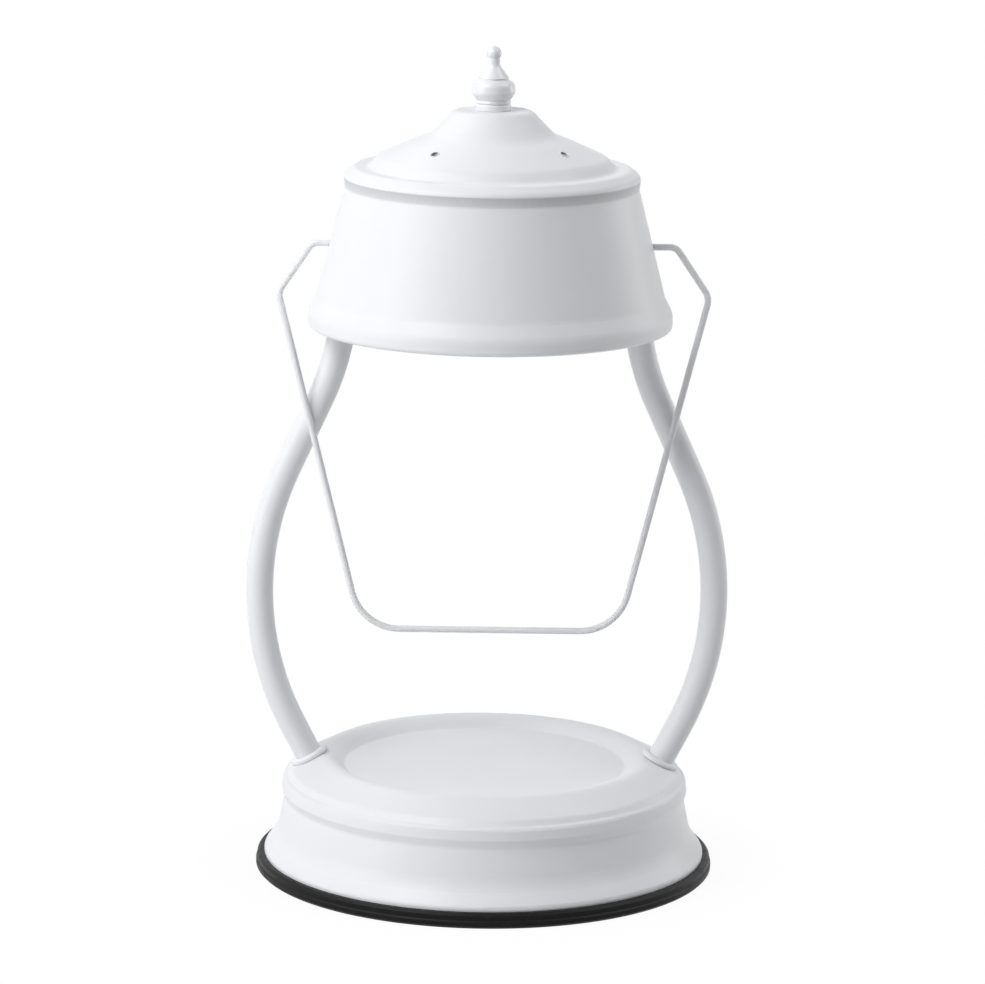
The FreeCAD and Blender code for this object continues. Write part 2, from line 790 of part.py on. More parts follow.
# Shade: cone with a curled mouth and a rounded rim, low dome, cupola with a flat top
def shade_point(radius, rise, bend):
    """A corner of the shade's outline, its height given above the mouth."""
    return size(radius), worked(SHADE_MOUTH) + size(rise), size(bend)


shade_outline = [
    (size("stud_diameter") / 2 + size("fit"), worked(SHADE_TOP), 0),
    shade_point("cupola_top_radius", "shade_rise", "cupola_bend"),
    shade_point("cupola_radius", "cupola_rise", "cupola_foot_bend"),
    shade_point("dome_top_radius", "dome_top_rise", "dome_bend"),
    shade_point("dome_edge_radius", "dome_edge_rise", "dome_edge_bend"),
    shade_point("valley_radius", "valley_rise", "valley_bend"),
    shade_point("rim_crest_radius", "rim_crest_rise", "rim_crest_bend"),
    shade_point("rim_radius", "rim_rise", "rim_bend"),
    shade_point("shade_top_radius", "shade_top_rise", "shade_top_bend"),
    shade_point("shade_crease_radius", "shade_crease_rise", "shade_crease_bend"),
    shade_point("shade_bead_radius", "shade_bead_rise", "shade_bead_bend"),
    (size("shade_bead_radius"), worked(SHADE_MOUTH), size("shade_mouth_bend")),
    (size("shade_mouth_radius"), worked(SHADE_MOUTH), 0),
]
shade_spun = feature("shade_spun", spun_shell(shade_outline, -size("shade_wall")))
shade_cutters = []
for number in range(4):
    turn = math.radians(90 * number - 45 + size("vent_clocking"))
    vent_place = up_at(size("vent_circle") * math.cos(turn), size("vent_circle") * math.sin(turn),
                       worked(SHADE_MOUTH) + size("dome_edge_rise"))
    shade_cutters.append(cylinder("vent_%d" % (number + 1), "vent_diameter",
                                  "shade_rise - dome_edge_rise", vent_place))
pivot_turn = Rotation(Vector(0, 0, 1), Vector(1, 0, 0))
shade_cutters.append(cylinder(
    "pivot_hole", "wire_diameter + 2 * running_clearance", "4 * shade_top_radius",
    Placement(Vector(-2 * size("shade_top_radius"), 0, worked(PIVOT_HEIGHT)), pivot_turn)))
keep(cut("shade_shell", shade_spun, shade_cutters))


# Finial: a turned knob with a ball tip, screwed down on the stud
bore_radius = size("stud_diameter") / 2 + size("fit")
bore_end = size("stud_reach") + 2 * size("fit")
foot_edge = size("finial_foot_radius") - size("finial_groove_radius")
ball_centre = size("finial_height") - size("finial_ball_radius")
finial_outline = [
    (0, bore_end, 0),
    (bore_radius, bore_end, 0),
    (bore_radius, 0, 0),
    (size("finial_foot_radius"), 0, foot_edge / 2),
    (size("finial_foot_radius"), size("finial_foot_height"), foot_edge / 2),
    (size("finial_groove_radius"), size("finial_groove_height"), foot_edge / 4),
    (size("finial_foot_radius"), size("finial_groove_height") + foot_edge, foot_edge / 2),
    (size("finial_waist_radius"), size("finial_waist_height"), foot_edge / 2),
    (size("finial_bulb_radius"), size("finial_bulb_low"), size("finial_bulb_bend")),
    (size("finial_bulb_radius") - foot_edge / 2, size("finial_bulb_high"),
     size("finial_bulb_bend")),
    (size("finial_collar_radius") - foot_edge / 2, size("finial_collar_height") - foot_edge,
     foot_edge / 4),
    (size("finial_collar_radius"), size("finial_collar_height"), foot_edge / 2),
    (size("finial_neck_radius"), size("finial_neck_height"), size("finial_neck_bend")),
    (size("finial_neck_radius"), ball_centre, 0),
    (0, ball_centre, 0),
]
finial_stem = feature("finial_stem", spun_solid(finial_outline))
finial_ball = doc.addObject("Part::Sphere", "finial_ball")
bind(finial_ball, "Radius", "finial_ball_radius")
finial_ball.Placement = up_at(0, 0, ball_centre)
finial = keep(doc.addObject("Part::MultiFuse", "finial"))
finial.Shapes = [finial_stem, finial_ball]
finial.Placement = up_at(0, 0, worked(SHADE_TOP))


# Lamp holder: ceramic block under the strap, with a nut recess, screw holes, pin sockets
holder_spun = turned("holder_body", [
    ("0", "0"),
    ("holder_diameter / 2 - holder_edge", "0"),
    ("holder_diameter / 2", "holder_edge"),
    ("holder_diameter / 2", "holder_height"),
    ("holder_recess_diameter / 2", "holder_height"),
    ("holder_recess_diameter / 2", "holder_height - holder_recess_depth"),
    ("0", "holder_height - holder_recess_depth"),
])
holder_spun.Placement = up_at(0, 0, worked(HOLDER_SEAT))
holder_cutters = []
holder_screws = []
bulb_pins = []
for name, side in SIDES:
    x = side * size("holder_screw_spacing") / 2
    depth = "screw_length - strap_thickness + 3 * fit"
    holder_cutters.append(cylinder(name + "_holder_bore", "holder_screw_diameter + 2 * fit", depth,
                                   up_at(x, 0, worked(STRAP_SEAT + " - (" + depth + ")"))))
    pin_x = side * size("pin_spacing") / 2
    holder_cutters.append(cylinder(name + "_socket", "pin_diameter + 2 * running_clearance",
                                   "pin_length + running_clearance",
                                   up_at(pin_x, 0, worked(HOLDER_SEAT))))
    screw = turned(name + "_holder_screw", [
        ("0", "0 - screw_length"),
        ("holder_screw_diameter / 2", "0 - screw_length"),
        ("holder_screw_diameter / 2", "0"),
        ("holder_screw_head / 2", "0"),
        ("holder_screw_head / 2", "screw_head_height / 2"),
        ("holder_screw_head / 2 - screw_head_edge", "screw_head_height"),
        ("0", "screw_head_height"),
    ])
    screw.Placement = up_at(x, 0, worked(STRAP_TOP))
    holder_screws.append(screw)
    bulb_pins.append(cylinder(name + "_bulb_pin", "pin_diameter", "pin_length",
                              up_at(pin_x, 0, worked(HOLDER_SEAT))))
keep(cut("lamp_holder", holder_spun, holder_cutters))
keep(group("holder_screws", holder_screws))
keep(group("bulb_pins", bulb_pins))


# Bulb: ceramic base, glass bowl, inner capsule and front glass
bulb_base = keep(turned("bulb_base", [
    ("0", "0"),
    ("bulb_base_diameter / 2", "0"),
    ("bulb_base_diameter / 2", "bulb_base_height - bulb_base_edge"),
    ("bulb_base_diameter / 2 - bulb_base_edge", "bulb_base_height"),
    ("0", "bulb_base_height"),
]))
bulb_base.Placement = up_at(0, 0, worked(BULB_SHOULDER))

bowl_height = size("bulb_length") - size("bulb_base_height")
bowl_outline = [
    (0, bowl_height, 0),
    (size("bowl_throat_radius"), bowl_height, size("bulb_glass")),
    (size("bowl_middle_radius"), size("bowl_middle_height"), size("bowl_bend")),
    (size("bulb_diameter") / 2, size("bulb_rim_height"), size("bulb_rim_bend")),
    (size("bulb_diameter") / 2, 0, 0),
]
bowl = keep(feature("bulb_bowl", spun_shell(bowl_outline, -size("bulb_glass"))))
bowl.Placement = up_at(0, 0, worked(BULB_RIM))

front_glass = keep(turned("bulb_front_glass", [
    ("0", "front_glass_recess"),
    ("bulb_diameter / 2 - bulb_glass - fit", "front_glass_recess"),
    ("bulb_diameter / 2 - bulb_glass - fit", "front_glass_recess + bulb_glass"),
    ("0", "front_glass_recess + bulb_glass"),
]))
front_glass.Placement = up_at(0, 0, worked(BULB_RIM))

capsule = keep(turned("bulb_capsule", [
    ("0", "0"),
    ("capsule_diameter / 4", "0"),
    ("capsule_diameter / 2", "capsule_diameter / 4"),
    ("capsule_diameter / 2", "capsule_length"),
    ("0", "capsule_length"),
]))
capsule.Placement = up_at(0, 0, worked(BULB_SHOULDER + " - bulb_glass - capsule_length"))


# Wire handle: pivots in the shade's sides, hangs forward against the posts, and has slid to
# the right as far as its play lets it
wire_radius = size("wire_diameter") / 2
cap_radius = size("cap_diameter") / 2
slant = (size("shade_crease_radius") - size("shade_top_radius")) / (
    size("shade_top_rise") - size("shade_crease_rise"))
wall_across = size("shade_wall") * math.sqrt(1 + slant ** 2)
inside_radius = cone_radius(worked(PIVOT_HEIGHT) + cap_radius) - wall_across
cap_reach = math.sqrt(inside_radius ** 2 - cap_radius ** 2)
cap_face = cap_reach - size("running_clearance") - size("handle_slide")
wire_end = cap_face - size("cap_thickness") - 2 * size("fit")


def handle_corners(tilt):
    """Corners of the handle's centre line, hanging at a tilt forward of upright."""
    half = [
        (wire_end, 0, 0),
        (size("stub_spread"), 0, size("stub_bend")),
        (size("elbow_spread"), size("elbow_drop"), size("elbow_bend")),
        (size("handle_bottom_spread"), size("handle_drop"), size("handle_corner")),
    ]
    ends = [(-x, drop, bend) for x, drop, bend in half]
    ends += [(x, drop, bend) for x, drop, bend in reversed(half)]
    corners = []
    for x, drop, bend in ends:
        point = Vector(x + size("handle_slide"), -drop * math.sin(tilt),
                       worked(PIVOT_HEIGHT) - drop * math.cos(tilt))
        corners.append((point, bend))
    return corners


flat_handle = rounded_route(handle_corners(0))
reaches = []
for name, side in SIDES:
    crossing = flat_handle.distToShape(post_route(side))[1][0][0]
    reaches.append(worked(PIVOT_HEIGHT) - crossing.z)
stand_off = post_radius + wire_radius + size("running_clearance")
handle_tilt = math.asin(stand_off / min(reaches))
handle_route = rounded_route(handle_corners(handle_tilt))
keep(feature("wire_handle", along(handle_route, wire_radius)))
print("handle tilt", round(math.degrees(handle_tilt), 2), "crossings below the pivot", reaches)

caps = []
for name, side in SIDES:
    cap = turned(name + "_handle_cap", [
        ("wire_diameter / 2 + fit", "0"),
        ("cap_diameter / 2", "0"),
        ("cap_diameter / 2", "cap_thickness - cap_edge"),
        ("cap_diameter / 2 - cap_edge", "cap_thickness"),
        ("wire_diameter / 2 + fit", "cap_thickness"),
    ])
    inward = Rotation(Vector(0, 0, 1), Vector(-side, 0, 0))
    cap.Placement = Placement(
        Vector(side * cap_face + size("handle_slide"), 0, worked(PIVOT_HEIGHT)), inward)
    caps.append(cap)
keep(group("handle_caps", caps))


# Check every object and every sub-part, then write each sub-part to its own file
doc.recompute()
for thing in doc.Objects:
    if "Invalid" in thing.State or "Error" in thing.State:
        raise RuntimeError("%s failed: %s" % (thing.Label, thing.State))
os.makedirs("parts", exist_ok=True)
for piece in nodes:
    if piece.Shape.isNull() or not piece.Shape.isValid():
        raise RuntimeError("bad shape: " + piece.Label)
    piece.Shape.exportStep("parts/%s.step" % piece.Label)
    box = piece.Shape.BoundBox
    print("%-20s %9.1f mm3  x %.1f %.1f  y %.1f %.1f  z %.1f %.1f" % (
        piece.Label, piece.Shape.Volume, box.XMin, box.XMax, box.YMin, box.YMax,
        box.ZMin, box.ZMax))
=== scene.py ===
# %% [markdown]
# # A candle warmer lamp
# This lesson dresses a lamp that warms a jar candle from above. The lamp is spun
# steel under white enamel: a flared base, two bowed tubes, a shade over a spot bulb and a
# wire handle. Its solids are already built at their real size, so the first cell only
# loads them as a fixed frame, with a helper that measures the box of one solid.
# %% Load the frame
import math
import bmesh
import bpy
from mathutils import Euler, Matrix, Vector


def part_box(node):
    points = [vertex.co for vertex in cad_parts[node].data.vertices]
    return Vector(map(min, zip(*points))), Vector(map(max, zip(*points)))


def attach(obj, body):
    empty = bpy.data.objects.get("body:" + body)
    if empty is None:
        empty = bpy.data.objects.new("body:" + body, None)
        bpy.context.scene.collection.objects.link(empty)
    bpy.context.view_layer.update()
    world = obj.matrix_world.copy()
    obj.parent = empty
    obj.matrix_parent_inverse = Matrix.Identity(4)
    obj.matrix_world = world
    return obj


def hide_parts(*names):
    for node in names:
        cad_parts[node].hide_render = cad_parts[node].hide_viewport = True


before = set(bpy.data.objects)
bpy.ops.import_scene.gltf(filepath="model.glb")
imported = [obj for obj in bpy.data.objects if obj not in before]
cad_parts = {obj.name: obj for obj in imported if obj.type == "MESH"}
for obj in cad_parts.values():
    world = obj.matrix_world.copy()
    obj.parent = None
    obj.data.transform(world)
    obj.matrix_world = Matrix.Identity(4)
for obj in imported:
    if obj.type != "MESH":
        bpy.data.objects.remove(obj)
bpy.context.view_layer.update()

scene = bpy.context.scene
scene.view_settings.view_transform = "Standard"
MM = 0.001


# %% [markdown]
# The camera stands 1.7 m in front of the lamp and half a metre up, with a long lens, which
# is how a product picture is taken. It looks down by about twelve degrees, and it is
# tilted by under one degree, so the lamp leans a little to the right.
# %% Camera
IMAGE_WIDTH = 985
SENSOR = 36.0
FOCAL_PIXELS = 4712
CAMERA_PLACE = Vector((1.6, -1700, 498)) * MM
PITCH = 0.2065
ROLL = 0.0137
FAR_CLIP = 50

camera_data = bpy.data.cameras.new("camera")
camera_data.sensor_fit = "HORIZONTAL"
camera_data.sensor_width = SENSOR
camera_data.lens = FOCAL_PIXELS * SENSOR / IMAGE_WIDTH
camera_data.clip_end = FAR_CLIP
camera = bpy.data.objects.new("camera", camera_data)
scene.collection.objects.link(camera)
aim = Euler((math.pi / 2 - PITCH, 0, 0)).to_matrix().to_4x4()
camera.matrix_world = Matrix.Translation(CAMERA_PLACE) @ aim @ Matrix.Rotation(ROLL, 4, "Z")
scene.camera = camera
print("lens:", round(camera_data.lens, 1), "mm")


# %% [markdown]
# Shader maths reads best as plain arithmetic. The small class below wraps one output of a
# node and gives it the usual operators, and each operation adds a Math node. Any
# other node comes from one method, which sets the node up and then feeds its sockets.
# %% Shader maths
class Signal:
    """One output of a shader node, with arithmetic."""

    def __init__(self, paint, output):
        self.paint = paint
        self.output = output

    def maths(self, operation, first, second):
        return self.paint.add("Math", settings={"operation": operation},
                              sockets={0: first, 1: second})

    def __add__(self, other):
        return self.maths("ADD", self, other)

    def __radd__(self, other):
        return self.maths("ADD", other, self)

    def __sub__(self, other):
        return self.maths("SUBTRACT", self, other)

    def __rsub__(self, other):
        return self.maths("SUBTRACT", other, self)

    def __mul__(self, other):
        return self.maths("MULTIPLY", self, other)

    def __rmul__(self, other):
        return self.maths("MULTIPLY", other, self)

    def __pow__(self, other):
        return self.maths("POWER", self, other)


class Paint:
    """The nodes of a new material, or of a world, with one method that adds any node."""

    def __init__(self, name, owner=None):
        self.owner = owner or bpy.data.materials.new(name)
        self.owner.use_nodes = True
        self.tree = self.owner.node_tree
        self.tree.nodes.clear()

    def add(self, kind, output=0, settings=None, sockets=None):
        node = self.tree.nodes.new("ShaderNode" + kind)
        for name, value in (settings or {}).items():
            setattr(node, name, value)
        for name, value in (sockets or {}).items():
            if isinstance(value, Signal):
                self.tree.links.new(value.output, node.inputs[name])
            else:
                node.inputs[name].default_value = value
        return Signal(self, node.outputs[output]) if node.outputs else node

    def finish(self, surface, kind="OutputMaterial"):
        """Join a shader to the output."""
        self.add(kind, sockets={"Surface": surface})
        return self.owner


def grey(level):
    """A neutral colour."""
    return (level, level, level, 1)


print("shader maths ready")


# %% [markdown]
# Most finishes need the same few patterns: a noise at a size given in millimetres, a
# choice between two numbers, a mix of two colours, and a bump. They are written once here.
# Patterns read Object coordinates, which are metres in the lamp's own frame.
# %% Pattern helpers
def place(paint):
    """Where a point of the surface is, in metres."""
    return paint.add("TexCoord", output="Object")


def noise(paint, size, detail=2.0, roughness=0.5, where=None):
    """Cloudy noise whose blobs are about a size across."""
    return paint.add("TexNoise", output=0, sockets={
        "Vector": where or place(paint), "Scale": 1 / size,
        "Detail": detail, "Roughness": roughness})


def between(paint, mask, low, high, start=0.0, end=1.0):
    """A number that runs from low to high as the mask runs from start to end."""
    return paint.add("MapRange", sockets={
        "Value": mask, "From Min": start, "From Max": end, "To Min": low, "To Max": high})


def blend_colour(paint, mask, first, second):
    """Two colours mixed by a mask."""
    return paint.add("Mix", output=2, settings={"data_type": "RGBA"},
                     sockets={0: mask, 6: first, 7: second})


def bump(paint, height, depth, below=None):
    """A bump whose height runs over a real depth, laid over another bump."""
    sockets = {"Distance": depth, "Height": height}
    if below:
        sockets["Normal"] = below
    return paint.add("Bump", sockets=sockets)


def stretched(paint, along, around):
    """Object coordinates stretched for streaks: sizes along Z and around it."""
    return paint.add("Mapping", sockets={
        "Vector": place(paint), "Scale": (1 / around, 1 / around, 1 / along)})


print("pattern helpers ready")


# %% [markdown]
# The white parts are sprayed and baked. Such enamel is never quite even: it has a fine
# orange peel about a millimetre across, slightly duller patches, a faint warmth where it
# lies thin, and a few specks of dust under the surface. Bump and roughness carry most of
# it, because the colour itself hardly changes. High inside the dome the enamel is painted
# near black as painted shade, so the vents look black from outside.
# %% White enamel
ENAMEL = (0.815, 0.828, 0.855)
# Near-black colour used as painted shade high inside the dome.
DOME_SHADE_PAINT = grey(0.035)
PATCH_SIZE = 38
CLOUD_SIZE = 9
SPECK_SIZE = 0.55
PEEL_SIZE = 1.3
RIPPLE_SIZE = 7
RIPPLE_DEPTH = 0.02
DOME_INSIDE = (252, 262)


def toned(colour, red, green, blue):
    """A colour with its three channels scaled."""
    return (colour[0] * red, colour[1] * green, colour[2] * blue, 1)


def white_enamel(name, roughness=0.42, peel=0.012, coat=0.05, sheen=0.3, painted_shade=None):
    """Baked white enamel over steel, painted near black as painted shade where a mask says."""
    paint = Paint(name)
    patches = noise(paint, PATCH_SIZE * MM, detail=3)
    cloud = noise(paint, CLOUD_SIZE * MM, detail=4, roughness=0.6)
    speck = noise(paint, SPECK_SIZE * MM, detail=1)
    specks = between(paint, speck, 0, 1, 0.765, 0.80)
    warm = blend_colour(paint, patches, toned(ENAMEL, 1, 1, 1), toned(ENAMEL, 0.985, 0.98, 0.97))
    spotted = blend_colour(paint, specks * 0.35, warm, toned(ENAMEL, 0.72, 0.70, 0.66))
    # Painted shade: the mask turns the dome's inside near black in place of its shadow.
    if painted_shade:
        spotted = blend_colour(paint, painted_shade(paint), spotted, DOME_SHADE_PAINT)
    dull = roughness + (cloud - 0.5) * 0.10 + (patches - 0.5) * 0.08
    peel_noise = noise(paint, PEEL_SIZE * MM, detail=1.5)
    ripple = noise(paint, RIPPLE_SIZE * MM, detail=1)
    skin = bump(paint, peel_noise, peel * MM)
    skin = bump(paint, ripple, RIPPLE_DEPTH * MM, below=skin)
    surface = paint.add("BsdfPrincipled", sockets={
        "Base Color": spotted, "Roughness": dull, "Normal": skin,
        "IOR": 1.5, "Specular IOR Level": sheen, "Coat Weight": coat, "Coat Roughness": 0.12})
    return paint.finish(surface)


def dome_shade_mask(paint):
    """One on the lamp shade's inside above a height, where painted shade darkens the dome."""
    height = paint.add("SeparateXYZ", output="Z", sockets={"Vector": place(paint)})
    facing = paint.add("SeparateXYZ", output="Z", sockets={
        "Vector": paint.add("NewGeometry", output="True Normal")})
    low, high = (level * MM for level in DOME_INSIDE)
    return between(paint, height, 0, 1, low, high) * between(paint, facing, 1, 0, -0.3, 0.1)


shell_finish = white_enamel("base_enamel")
post_finish = white_enamel("post_enamel", roughness=0.40)
# The lamp shade's finish carries painted shade high inside its dome.
shade_finish = white_enamel("shade_enamel", painted_shade=dome_shade_mask)
finial_finish = white_enamel("finial_enamel", roughness=0.28, coat=0.25, sheen=0.4)
wire_finish = white_enamel("wire_enamel", roughness=0.40, peel=0.002)
print("enamel:", shell_finish.name, shade_finish.name, post_finish.name)


# %% [markdown]
# The foot ring is moulded black rubber. It is satin rather than matt, it picks up pale
# dust and dry scuffs, and its skin has a fine grain.
# %% Black rubber
def black_rubber(name):
    """Moulded rubber with dust and scuffs."""
    paint = Paint(name)
    dust = noise(paint, 4 * MM, detail=5, roughness=0.65)
    dusty = between(paint, dust, 0, 1, 0.5, 0.85)
    grain = noise(paint, 0.35 * MM, detail=2)
    colour = blend_colour(paint, dusty * 0.35, grey(0.006), grey(0.03))
    surface = paint.add("BsdfPrincipled", sockets={
        "Base Color": colour, "Roughness": 0.42 + dusty * 0.25,
        "Normal": bump(paint, grain, 0.02 * MM), "IOR": 1.5, "Specular IOR Level": 0.12})
    return paint.finish(surface)


rubber_finish = black_rubber("black_rubber")
print("rubber:", rubber_finish.name)


# %% [markdown]
# Hidden parts still show in a view from below. Plated steel gets fine streaks and a
# milky bloom, brass gets brown tarnish, and ceramic gets pores.
# %% Bare metals and ceramic
def streaked_metal(name, light, dark, roughness, metallic=1.0):
    """Plated or bare metal with fine streaks and a bloom."""
    paint = Paint(name)
    streak = noise(paint, 1.0, detail=2, where=stretched(paint, 9 * MM, 0.5 * MM))
    bloom = noise(paint, 6 * MM, detail=4)
    colour = blend_colour(paint, bloom, light, dark)
    surface = paint.add("BsdfPrincipled", sockets={
        "Base Color": colour, "Metallic": metallic,
        "Roughness": roughness + (streak - 0.5) * 0.2 + (bloom - 0.5) * 0.15,
        "Normal": bump(paint, streak, 0.01 * MM)})
    return paint.finish(surface)


def ceramic(name, light, dark):
    """Unglazed steatite with pores."""
    paint = Paint(name)
    pores = between(paint, noise(paint, 0.8 * MM, detail=2), 0, 1, 0.62, 0.72)
    tint = blend_colour(paint, noise(paint, 8 * MM), light, dark)
    colour = blend_colour(paint, pores * 0.5, tint, (0.42, 0.38, 0.32, 1))
    surface = paint.add("BsdfPrincipled", sockets={
        "Base Color": colour, "Roughness": 0.62 + pores * 0.2,
        "Normal": bump(paint, 1 - pores, 0.05 * MM)})
    return paint.finish(surface)


plate_finish = streaked_metal("zinc_plate", (0.60, 0.61, 0.63, 1), (0.48, 0.48, 0.47, 1), 0.34)
screw_finish = streaked_metal("screw_steel", (0.55, 0.55, 0.56, 1), (0.42, 0.41, 0.40, 1), 0.28)
brass_finish = streaked_metal("brass", (0.78, 0.57, 0.25, 1), (0.50, 0.33, 0.14, 1), 0.30)
pin_finish = streaked_metal("pin_nickel", (0.68, 0.67, 0.64, 1), (0.55, 0.53, 0.50, 1), 0.22)
ceramic_finish = ceramic("ceramic", (0.80, 0.78, 0.72, 1), (0.72, 0.69, 0.62, 1))
block_finish = ceramic("terminal_plastic", (0.78, 0.77, 0.74, 1), (0.74, 0.73, 0.69, 1))
print("metals:", plate_finish.name, brass_finish.name)


# %% [markdown]
# The bulb is a spot lamp: a glass bowl with a bright mirror coat inside, a clear front and
# a small capsule. Clear glass is a Glass-like Principled with full transmission.
# %% Bulb glass
def clear_glass(name, tint, roughness):
    """Clear glass with faint smears."""
    paint = Paint(name)
    smear = noise(paint, 6 * MM, detail=3)
    surface = paint.add("BsdfPrincipled", sockets={
        "Base Color": tint, "Roughness": roughness + smear * 0.05,
        "Transmission Weight": 1.0, "IOR": 1.46})
    return paint.finish(surface)


def mirror_bowl(name):
    """A faceted mirror coat behind glass."""
    paint = Paint(name)
    facets = paint.add("TexVoronoi", output="Distance", sockets={
        "Vector": place(paint), "Scale": 1 / (2.6 * MM)})
    bands = noise(paint, 5 * MM, detail=3)
    colour = blend_colour(paint, bands, (0.86, 0.86, 0.88, 1), (0.74, 0.75, 0.80, 1))
    surface = paint.add("BsdfPrincipled", sockets={
        "Base Color": colour, "Metallic": 1.0, "Roughness": 0.10 + bands * 0.08,
        "Normal": bump(paint, facets, 0.25 * MM)})
    return paint.finish(surface)


front_finish = clear_glass("front_glass", (0.97, 0.98, 0.98, 1), 0.02)
capsule_finish = clear_glass("capsule_glass", (0.95, 0.95, 0.96, 1), 0.08)
bowl_finish = mirror_bowl("mirror_bowl")
print("glass:", front_finish.name, bowl_finish.name)


# %% [markdown]
# Each solid that shows keeps its own mesh and takes a finish through its object's slot.
# %% Dress the solids
FINISHES = {
    shell_finish: ["base_shell", "left_post_collar", "right_post_collar"],
    post_finish: ["left_post", "right_post"],
    shade_finish: ["shade_shell"],
    finial_finish: ["finial"],
    wire_finish: ["wire_handle"],
    rubber_finish: ["foot_ring", "cord_inlet_bush"],
    plate_finish: ["bottom_plate", "plate_standoffs", "strap", "shade_spacer"],
    screw_finish: ["plate_screws", "strap_screws", "centre_stud", "stud_nuts",
                   "holder_screws", "handle_caps"],
    brass_finish: ["left_foot_nipple", "right_foot_nipple", "foot_nuts", "post_top_inserts"],
    pin_finish: ["bulb_pins"],
    ceramic_finish: ["lamp_holder", "bulb_base"],
    block_finish: ["terminal_block", "foot_saddles"],
    bowl_finish: ["bulb_bowl"],
    front_finish: ["bulb_front_glass"],
    capsule_finish: ["bulb_capsule"],
}
for finish, names in FINISHES.items():
    for name in names:
        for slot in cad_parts[name].material_slots:
            slot.material = finish
dressed = sum(len(names) for names in FINISHES.values())
print("dressed solids:", dressed, "of", len(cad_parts))


# %% [markdown]
# Small things that the solids leave plain are added as pieces. Each starts as a bmesh, is
# merged and turned to face outwards, and then rides on the body that carries it.
# %% Making a piece
def finished(shape, name, finish, body="lamp"):
    """A smooth piece from a bmesh, in its finish and riding on its body."""
    bmesh.ops.remove_doubles(shape, verts=shape.verts, dist=0.001 * MM)
    bmesh.ops.recalc_face_normals(shape, faces=shape.faces)
    mesh = bpy.data.meshes.new(name)
    shape.to_mesh(mesh)
    shape.free()
    mesh.shade_smooth()
    mesh.materials.append(finish)
    piece = bpy.data.objects.new(name, mesh)
    scene.collection.objects.link(piece)
    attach(piece, body)
    return piece


def ring_into(shape, radius, thickness, matrix, steps=40):
    """A round ring about a place's own Z, spun from a small circle."""
    made = bmesh.ops.create_circle(shape, segments=10, radius=thickness / 2, matrix=(
        matrix @ Matrix.Translation((radius, 0, 0)) @ Matrix.Rotation(math.pi / 2, 4, "X")))
    around = {edge for vertex in made["verts"] for edge in vertex.link_edges}
    bmesh.ops.spin(shape, geom=made["verts"] + list(around), cent=matrix.translation,
                   axis=matrix.to_3x3() @ Vector((0, 0, 1)), angle=2 * math.pi, steps=steps,
                   use_merge=True)


print("ready to add pieces")


# %% [markdown]
# Four vents are punched through the dome. Enamel draws back from a sharp punched edge and
# builds up in a soft rim just outside it, so each vent gets a thin ring. A ray dropped on
# the dome beside a vent tells how high the dome is there and how it slopes.
# %% Vent rims
VENT_CIRCLE = 33.0
VENT_RADIUS = 1.6
VENT_CLOCKING = 6
PROBE_ANGLE = 12
RIM_THICKNESS = 0.5

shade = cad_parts["shade_shell"]
shape = bmesh.new()
for quarter in range(4):
    turn = math.radians(90 * quarter - 45 + VENT_CLOCKING)
    beside = turn + math.radians(PROBE_ANGLE)
    above = Vector((math.cos(beside), math.sin(beside), 0)) * VENT_CIRCLE * MM
    found, spot, facing, face = shade.ray_cast(above + Vector((0, 0, 1)), Vector((0, 0, -1)))
    slope = Vector(facing).xy.length / facing.z
    centre = Vector((math.cos(turn) * VENT_CIRCLE * MM, math.sin(turn) * VENT_CIRCLE * MM, spot.z))
    tilt = Matrix.Rotation(turn, 4, "Z") @ Matrix.Rotation(math.atan(slope), 4, "Y")
    ring_into(shape, VENT_RADIUS * MM, RIM_THICKNESS * MM, Matrix.Translation(centre) @ tilt)
vent_rims = finished(shape, "vent_rims", shade_finish)
print("vent rims:", len(vent_rims.data.polygons), "faces, at", round(spot.z / MM, 1), "mm")


# %% [markdown]
# The capsule inside the bulb holds a tungsten coil between two legs. The coil is a small
# circle that a spin turns and moves along at the same time, which makes a helix.
# %% Filament
COIL_RADIUS = 0.7
COIL_TURNS = 9
COIL_PITCH = 0.6
COIL_WIRE = 0.22
COIL_STEPS = 14
COIL_PLACE = 0.35
LEG_GAP = 0.5

low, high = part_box("bulb_capsule")
coil_height = low[2] + COIL_PLACE * (high[2] - low[2])
coil_length = COIL_TURNS * COIL_PITCH * MM
shape = bmesh.new()
start = Vector((-coil_length / 2, 0, coil_height))
section = bmesh.ops.create_circle(shape, segments=6, radius=COIL_WIRE * MM / 2, matrix=(
    Matrix.Translation(start + Vector((0, 0, COIL_RADIUS * MM)))
    @ Matrix.Rotation(math.pi / 2, 4, "X")))
rim = {edge for vertex in section["verts"] for edge in vertex.link_edges}
bmesh.ops.spin(shape, geom=section["verts"] + list(rim), cent=start, axis=(1, 0, 0),
               dvec=(COIL_PITCH * MM / COIL_STEPS, 0, 0), angle=2 * math.pi * COIL_TURNS,
               steps=COIL_STEPS * COIL_TURNS)
bmesh.ops.holes_fill(shape, edges=shape.edges)
for side in (-1, 1):
    leg_top = high[2] - LEG_GAP * MM
    middle = Vector((side * coil_length / 2, 0, (coil_height + leg_top) / 2))
    bmesh.ops.create_cone(shape, cap_ends=True, segments=8, radius1=COIL_WIRE * MM,
                          radius2=COIL_WIRE * MM, depth=leg_top - coil_height,
                          matrix=Matrix.Translation(middle))
filament = finished(shape, "filament", pin_finish)
print("filament:", len(filament.data.polygons), "faces")


# %% [markdown]
# The bottom plate's three screws have cross recesses. A copy of their solids is merged and
# cut by a cross of two bars at each head, and it takes the place of the plain solids.
# %% Cross recesses
SCREW_CIRCLE = 42.0
SCREW_TURNS = (30, 150, 270)
BAR_TURNS = (20, 110)
BAR_LENGTH = 3.6
BAR_WIDTH = 0.9
BAR_DEPTH = 1.1
SHARP_ANGLE = 35

